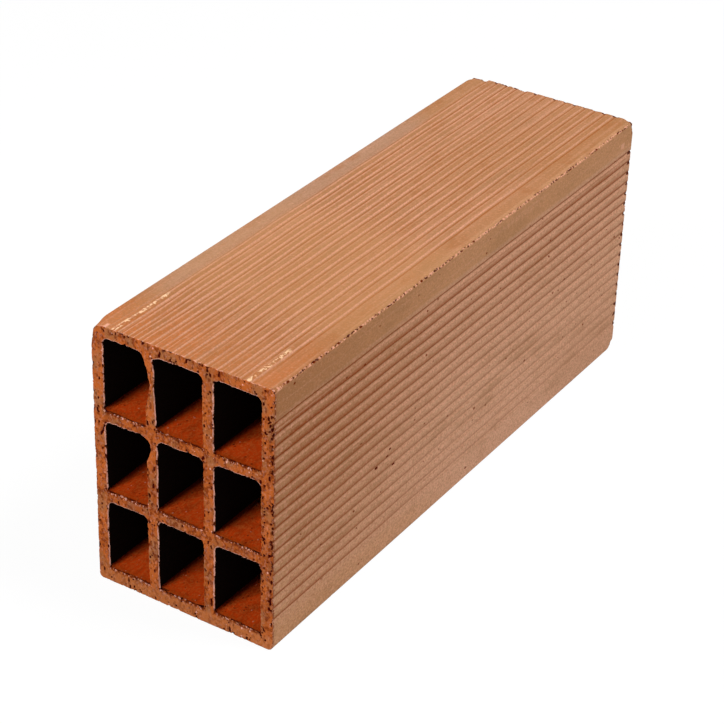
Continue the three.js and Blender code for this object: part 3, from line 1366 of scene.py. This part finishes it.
def white_world(ambient):
    """Plain white to the camera and in reflections, and a weak even light on surfaces."""
    world = bpy.data.worlds.new("soft white surround")
    world.use_nodes = True
    tree = world.node_tree
    tree.nodes.clear()
    path = add(tree, "ShaderNodeLightPath").outputs
    seen = path["Is Camera Ray"]
    for ray in ("Is Glossy Ray", "Is Transmission Ray"):
        links = {0: seen, 1: path[ray]}
        seen = add(tree, "ShaderNodeMath", links=links, operation="MAXIMUM").outputs[0]
    level = add(tree, "ShaderNodeMapRange", {"To Min": ambient, "To Max": 1.0}, {"Value": seen})
    strength = {"Strength": level.outputs["Result"]}
    light = add(tree, "ShaderNodeBackground", {"Color": grey(1)}, strength)
    add(tree, "ShaderNodeOutputWorld", links={"Surface": light.outputs[0]})
    return world


def add_lamp(scene, name, direction, brightness):
    """A square soft lamp over the brick that gives a white surface square to it this brightness."""
    distance, size = 2.2, 0.7
    data = bpy.data.lights.new(name, "AREA")
    data.shape = "SQUARE"
    data.size = size
    data.energy = math.pi**2 * distance**2 * brightness
    made = bpy.data.objects.new(name, data)
    away = Vector(direction).normalized()
    made.location = (LOW + HIGH) / 2 + away * distance
    made.rotation_euler = away.to_track_quat("Z", "Y").to_euler()
    scene.collection.objects.link(made)


def aim_camera(scene, stage):
    """A camera that looks at the aim point along the azimuth and the elevation."""
    sensor_mm = 36
    flat = math.cos(stage.elevation)
    back = Vector(
        (math.sin(stage.azimuth) * flat, -math.cos(stage.azimuth) * flat, math.sin(stage.elevation))
    )
    right = Vector((0, 0, 1)).cross(back).normalized()
    up = back.cross(right)
    frame_axes = Matrix((right, up, back)).transposed().to_4x4()
    turn = Matrix.Rotation(stage.roll, 4, "Z")
    place = Matrix.Translation(Vector(stage.aim) + back * stage.distance)
    data = bpy.data.cameras.new("main camera")
    data.sensor_width = sensor_mm
    data.lens = stage.lens
    made = bpy.data.objects.new("main camera", data)
    made.matrix_world = place @ frame_axes @ turn
    scene.collection.objects.link(made)
    scene.camera = made


class CLAYBRICK_OT_stage(bpy.types.Operator):
    """Make the white floor, the soft lamps, the surround and the camera"""

    bl_idname = "claybrick.stage"
    bl_label = "Stage"

    def execute(self, context):
        scene = context.scene
        stage = scene.clay_brick_stage
        floor_reach = 5.0
        bm = bmesh.new()
        bmesh.ops.create_grid(bm, x_segments=1, y_segments=1, size=floor_reach)
        mesh = bpy.data.meshes.new("floor")
        bm.to_mesh(mesh)
        bm.free()
        mesh.materials.append(backdrop_paint())
        floor = bpy.data.objects.new("floor", mesh)
        scene.collection.objects.link(floor)
        add_lamp(scene, "side lamp", (0.5, 0.16, 0.85), stage.key_light)
        add_lamp(scene, "front lamp", (-0.18, -0.8, 0.57), stage.front_light)
        scene.world = white_world(stage.ambient)
        scene.view_settings.view_transform = "Standard"
        aim_camera(scene, stage)
        return {"FINISHED"}


class CLAYBRICK_PT_panel(bpy.types.Panel):
    bl_idname = "CLAYBRICK_PT_panel"
    bl_label = "Clay Brick"
    bl_space_type = "VIEW_3D"
    bl_region_type = "UI"
    bl_category = "Clay Brick"

    def draw(self, context):
        layout = self.layout
        for group in (
            context.scene.clay_brick_sizes,
            context.scene.clay_brick_colours,
            context.scene.clay_brick_stage,
        ):
            box = layout.box()
            for name in group.bl_rna.properties.keys():
                if name not in {"rna_type", "name"}:
                    box.prop(group, name)
        layout.operator(CLAYBRICK_OT_body.bl_idname)
        layout.operator(CLAYBRICK_OT_stage.bl_idname)


CLASSES = (
    ClayBrickSizes,
    ClayBrickColours,
    ClayBrickStage,
    CLAYBRICK_OT_body,
    CLAYBRICK_OT_stage,
    CLAYBRICK_PT_panel,
)


def register():
    for cls in CLASSES:
        bpy.utils.register_class(cls)
    bpy.types.Scene.clay_brick_sizes = PointerProperty(type=ClayBrickSizes)
    bpy.types.Scene.clay_brick_colours = PointerProperty(type=ClayBrickColours)
    bpy.types.Scene.clay_brick_stage = PointerProperty(type=ClayBrickStage)


def unregister():
    del bpy.types.Scene.clay_brick_stage
    del bpy.types.Scene.clay_brick_colours
    del bpy.types.Scene.clay_brick_sizes
    for cls in reversed(CLASSES):
        bpy.utils.unregister_class(cls)


def main():
    register()
    bpy.ops.claybrick.body()
    bpy.ops.claybrick.stage()


if __name__ == "__main__":
    main()
